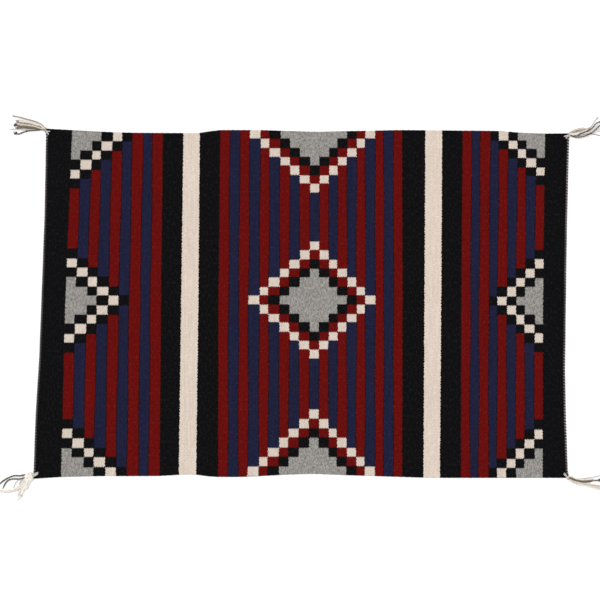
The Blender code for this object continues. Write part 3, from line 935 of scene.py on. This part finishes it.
class Graph:
    """A new material's node tree, with short ways to add its nodes."""

    def __init__(self, name, roughness):
        self.material = bpy.data.materials.new(name)
        self.material.use_nodes = True
        self.tree = self.material.node_tree
        self.shader = self.tree.nodes["Principled BSDF"]
        self.shader.inputs["Roughness"].default_value = roughness
        self.shader.inputs["Specular IOR Level"].default_value = SHINE

    def add(self, kind, **settings):
        node = self.tree.nodes.new(kind)
        for key, value in settings.items():
            setattr(node, key, value)
        return node

    def put(self, value, socket):
        if isinstance(value, bpy.types.NodeSocket):
            self.tree.links.new(value, socket)
        else:
            socket.default_value = value

    def result(self, node, values):
        """The node's first output, its inputs set in order."""
        for value, socket in zip(values, node.inputs):
            self.put(value, socket)
        return node.outputs[0]

    def math(self, operation, *values):
        return self.result(self.add("ShaderNodeMath", operation=operation), values)

    def vector(self, operation, *values):
        return self.result(self.add("ShaderNodeVectorMath", operation=operation), values)

    def read(self, name, output="Fac"):
        return self.add("ShaderNodeAttribute", attribute_name=name).outputs[output]

    def place(self, *scales):
        """The place on the object in millimetres, stretched by a factor along each axis."""
        spot = self.add("ShaderNodeTexCoord").outputs["Object"]
        return self.vector("MULTIPLY", spot, tuple(s / MM for s in scales))

    def noise(self, spot, scale, detail):
        node = self.add("ShaderNodeTexNoise")
        self.put(spot, node.inputs["Vector"])
        node.inputs["Scale"].default_value = scale
        node.inputs["Detail"].default_value = detail
        return node.outputs["Fac"]

    def grain(self, grain):
        """A noise over the object, stretched as the grain says."""
        return self.noise(self.place(grain.across, grain.along, grain.up), 1.0, grain.detail)

    def speckle(self, across, along):
        """A value of its own for each pair of whole numbers."""
        node = self.add("ShaderNodeTexWhiteNoise", noise_dimensions="2D")
        self.put(self.combine(across, along, 0.0), node.inputs["Vector"])
        return node.outputs["Value"]

    def weighted(self, value, weight):
        """A value from 0 to 1 turned into one around zero."""
        return self.math("MULTIPLY", self.math("SUBTRACT", value, 0.5), weight)

    def total(self, *values):
        whole = values[0]
        for value in values[1:]:
            whole = self.math("ADD", whole, value)
        return whole

    def split(self, vector):
        node = self.add("ShaderNodeSeparateXYZ")
        self.put(vector, node.inputs[0])
        return node.outputs

    def combine(self, *values):
        return self.result(self.add("ShaderNodeCombineXYZ"), values)

    def mix(self, share, first, second):
        node = self.add("ShaderNodeMix", data_type="RGBA")
        colours = [socket for socket in node.inputs if socket.type == "RGBA"]
        self.put(share, node.inputs["Factor"])
        self.put(first, colours[0])
        self.put(second, colours[1])
        return next(socket for socket in node.outputs if socket.type == "RGBA")

    def steps(self, share, stops):
        """A colour ramp without blending, from pairs of where a colour starts and what it is."""
        node = self.add("ShaderNodeValToRGB")
        ramp = node.color_ramp
        ramp.interpolation = "CONSTANT"
        while len(ramp.elements) < len(stops):
            ramp.elements.new(1.0)
        for element, (start, colour) in zip(ramp.elements, stops):
            element.position = start
            element.color = linear(colour)
        self.put(share, node.inputs["Fac"])
        return node.outputs["Color"]

    def scaled(self, colour, tone):
        """A colour made lighter or darker by a factor."""
        node = self.add("ShaderNodeVectorMath", operation="SCALE")
        self.put(colour[:3] if isinstance(colour, tuple) else colour, node.inputs[0])
        self.put(tone, node.inputs["Scale"])
        return node.outputs[0]

    def bump(self, height, distance):
        node = self.add("ShaderNodeBump")
        node.inputs["Strength"].default_value = 1.0
        node.inputs["Distance"].default_value = distance * MM
        self.put(height, node.inputs["Height"])
        self.put(node.outputs["Normal"], self.shader.inputs["Normal"])


def block_chart(graph, distance, chart):
    """The chart's colour at a distance."""
    stops = [((start - 0.5) / CHART_LENGTH if start else 0.0, colour) for start, colour in chart]
    return graph.steps(graph.math("DIVIDE", distance, CHART_LENGTH), stops)


def beyond(graph, count, last):
    """Whether a whole number is greater than the last one of a run."""
    return graph.math("GREATER_THAN", count, last + 0.5)


def within(graph, count, last):
    """Whether a whole number is at most the last one of a run."""
    return graph.math("LESS_THAN", count, last + 0.5)


def panel_colour(graph, count, row, chart, size, even, odd):
    """A panel's colour, of stripes under stepped diamonds, and whether it is the grey of a diamond."""
    stripes = graph.mix(graph.math("MODULO", count, 2.0), linear(even), linear(odd))
    distance = graph.total(count, row)
    colour = graph.mix(beyond(graph, distance, size), block_chart(graph, distance, chart), stripes)
    first_after_grey = chart[1][0]
    return colour, within(graph, distance, first_after_grey - 1)


def pattern(graph, unit, row):
    """The colour at a unit across and a row of blocks, and whether it is the mottled grey."""
    unit = graph.math("FLOOR", unit)
    row = graph.math("FLOOR", row)
    off_middle = graph.math("ABSOLUTE", graph.math("SUBTRACT", unit, MIDDLE_UNIT))
    middle, middle_grey = panel_colour(graph, off_middle, row, MIDDLE_CHART, MIDDLE_DIAMOND, BLUE, RED)
    # Side panels are counted from their outer stripe
    from_side = graph.math("SUBTRACT", SIDE_PANEL_END, off_middle)
    side, side_grey = panel_colour(graph, from_side, row, SIDE_CHART, SIDE_DIAMOND, RED, BLUE)

    # Plain bands, with the two kinds of panel set in
    bands = block_chart(graph, off_middle, BAND_CHART)
    in_middle = within(graph, off_middle, MIDDLE_PANEL_END)
    beyond_bands = beyond(graph, off_middle, SIDE_PANEL_START - 1)
    in_side = graph.math("MULTIPLY", beyond_bands, within(graph, off_middle, SIDE_PANEL_END))
    colour = graph.mix(in_side, graph.mix(in_middle, bands, middle), side)
    middle_grey = graph.math("MULTIPLY", in_middle, middle_grey)
    side_grey = graph.math("MULTIPLY", in_side, side_grey)
    return colour, graph.total(middle_grey, side_grey)


def wool_weave():
    """Weft-faced wool: striped bands and stepped diamonds in beads of weft over ribs of warp."""
    graph = Graph("handwoven wool", WEAVE_ROUGHNESS)
    x = graph.split(graph.place(1.0, 1.0, 1.0))[0]
    rib = graph.read("rib")
    rib_number = graph.math("FLOOR", rib)
    rib_share = graph.math("FRACT", rib)
    parity = graph.math("MODULO", rib_number, 2.0)

    # Beads of weft, set off by half a bead on every other rib
    sway = graph.grain(SWAY)
    bead = graph.total(graph.math("DIVIDE", x, BEAD), graph.math("MULTIPLY", parity, 0.5))
    bead = graph.total(bead, graph.math("MULTIPLY", sway, SWAY.weight))
    bead_number = graph.math("FLOOR", bead)
    bead_share = graph.math("FRACT", bead)

    # The unit across, taken at the bead's middle so that whole beads change colour
    wander = graph.weighted(graph.grain(EDGE_WANDER), EDGE_WANDER.weight)
    to_middle = graph.weighted(bead_share, -BEAD / BLOCK)
    unit = graph.total(graph.read("line"), wander, to_middle)

    # The row of blocks, its joins toothed by single beads
    tooth = graph.weighted(graph.math("FLOORED_MODULO", bead_number, 2.0), TOOTH_REACH)
    row = graph.total(graph.read("block_row"), tooth)

    # Dark wool is beaten in over light, so that light blocks end a little short on every side
    colour, is_grey = pattern(graph, graph.total(unit, TUCK), graph.total(row, TUCK))
    other_colour, _ = pattern(graph, graph.total(unit, -TUCK), graph.total(row, -TUCK))
    colour = graph.vector("MINIMUM", colour, other_colour)

    # Tone: streaks along the weft, each bead's own tone and fibres
    bead_tone = graph.speckle(bead_number, rib_number)
    fibre = graph.grain(FIBRE)
    tone = graph.total(
        graph.weighted(graph.grain(STREAK), STREAK.weight),
        graph.weighted(graph.grain(PATCH), PATCH.weight),
        graph.weighted(bead_tone, BEAD_TONE),
        graph.weighted(fibre, FIBRE.weight),
    )
    # Light wool is the most even, and blue the least
    red_part, green_part, blue_part = graph.split(colour)
    blueness = graph.math("MAXIMUM", graph.math("SUBTRACT", blue_part, red_part), 0.0)
    unevenness = graph.math("SUBTRACT", 1.0, graph.math("MULTIPLY", green_part, LIGHT_EVENNESS))
    unevenness = graph.total(unevenness, graph.math("MULTIPLY", blueness, BLUE_UNEVENNESS))
    tone = graph.total(graph.math("MULTIPLY", tone, unevenness), 1.0)
    lint = graph.math("MAXIMUM", graph.weighted(graph.grain(LINT), LINT.weight), 0.0)
    plain = graph.vector("ADD", graph.scaled(colour, tone), graph.combine(lint, lint, lint))

    # Grey is carded from black and white wool, so its tone varies far more
    heather_tone = graph.total(
        graph.weighted(graph.grain(MOTTLE), MOTTLE.weight),
        graph.weighted(bead_tone, HEATHER_BEAD_TONE),
        graph.weighted(fibre, HEATHER_FIBRE),
        1.0,
    )
    heather = graph.scaled(colour, heather_tone)
    graph.put(graph.mix(is_grey, plain, heather), graph.shader.inputs["Base Color"])

    # Relief: round beads on round ribs, and fibres
    bead_round = graph.math("SINE", graph.math("MULTIPLY", bead_share, math.pi))
    rib_round = graph.math("SINE", graph.math("MULTIPLY", rib_share, math.pi))
    height = graph.math("MULTIPLY", graph.math("SQRT", bead_round), graph.math("SQRT", rib_round))
    height = graph.total(height, graph.math("MULTIPLY", fibre, FIBRE_RELIEF))
    graph.bump(height, WEAVE_RELIEF)
    return graph.material


def spun_yarn(name, colour, spread, fades=False):
    """Handspun wool yarn: fibres run round it, its dye is slightly uneven, and it may have pale lengths."""
    graph = Graph(name, YARN_ROUGHNESS)
    fibre = graph.noise(graph.read("fibre", "Vector"), YARN_FIBRE_SCALE, YARN_FIBRE_DETAIL)
    tone = graph.total(
        graph.weighted(fibre, spread),
        graph.weighted(graph.grain(YARN_PATCH), spread * YARN_PATCH.weight),
        1.0,
    )
    if fades:
        tone = graph.math("MULTIPLY", tone, graph.read("paleness"))
    graph.put(graph.scaled(linear(colour), tone), graph.shader.inputs["Base Color"])
    graph.bump(fibre, YARN_RELIEF)
    return graph.material


def floor_paint():
    graph = Graph("studio floor", FLOOR_ROUGHNESS)
    graph.put(linear(FLOOR), graph.shader.inputs["Base Color"])
    return graph.material


# Studio


def make_floor():
    corners = FLOOR_HALF * np.array([(-1, -1, 0), (1, -1, 0), (1, 1, 0), (-1, 1, 0)])
    floor = new_piece("studio_floor", corners, [[0, 1, 2, 3]], [floor_paint()])


def make_light():
    world = bpy.data.worlds.new("studio light")
    world.use_nodes = True
    background = world.node_tree.nodes["Background"]
    background.inputs["Color"].default_value = (1.0, 1.0, 1.0, 1.0)
    background.inputs["Strength"].default_value = SKY_STRENGTH
    bpy.context.scene.world = world
    sun = bpy.data.lights.new("soft key", "SUN")
    sun.energy = SUN_STRENGTH
    sun.angle = SUN_BREADTH
    lamp = new_object("soft key", sun)
    lamp.rotation_euler = (SUN_TILT, SUN_TILT, 0)


def make_camera():
    camera = bpy.data.cameras.new("camera")
    camera.sensor_width = SENSOR
    camera.lens = SENSOR * CAMERA_HEIGHT / VIEW_WIDTH
    camera.clip_end = FARTHEST
    holder = new_object("camera", camera)
    holder.location = (*CAMERA_PLACE, CAMERA_HEIGHT)
    bpy.context.scene.camera = holder


def dress(piece, node):
    """The piece stands for a CAD node, which it hides, and hangs on the root body."""
    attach(piece, "root")
    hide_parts(node)
    return piece


def main():
    bpy.context.scene.view_settings.view_transform = "Standard"
    wool = wool_weave()
    blanket = dress(make_blanket(wool), "blanket")
    cord_dark = spun_yarn("cord yarn dark", CORD_DARK, CORD_SPREAD)
    for side, share in (("far", 1.0), ("near", 0.0)):
        dress(make_selvage(side, share, wool), "blanket")
    for side, edge, outwards in (("left", LEFT_END, -1), ("right", RIGHT_END, 1)):
        name = f"cord yarn light {side}"
        cord_light = spun_yarn(name, CORD_LIGHT[side], CORD_SPREAD, fades=True)
        cord = make_edge_cord(side, edge, outwards, [cord_dark, cord_light])
        dress(cord, f"edge_cord_{side}")
    yarns = []
    for kind, colour in TASSEL_YARNS.items():
        yarns.append(spun_yarn(f"tassel yarn {kind}", colour, TASSEL_SPREAD))
    for corner in CORNERS:
        tassel = make_tassel(corner, yarns)
        dress(tassel, f"tassel_{corner.name}")
    make_floor()
    make_light()
    make_camera()


main()
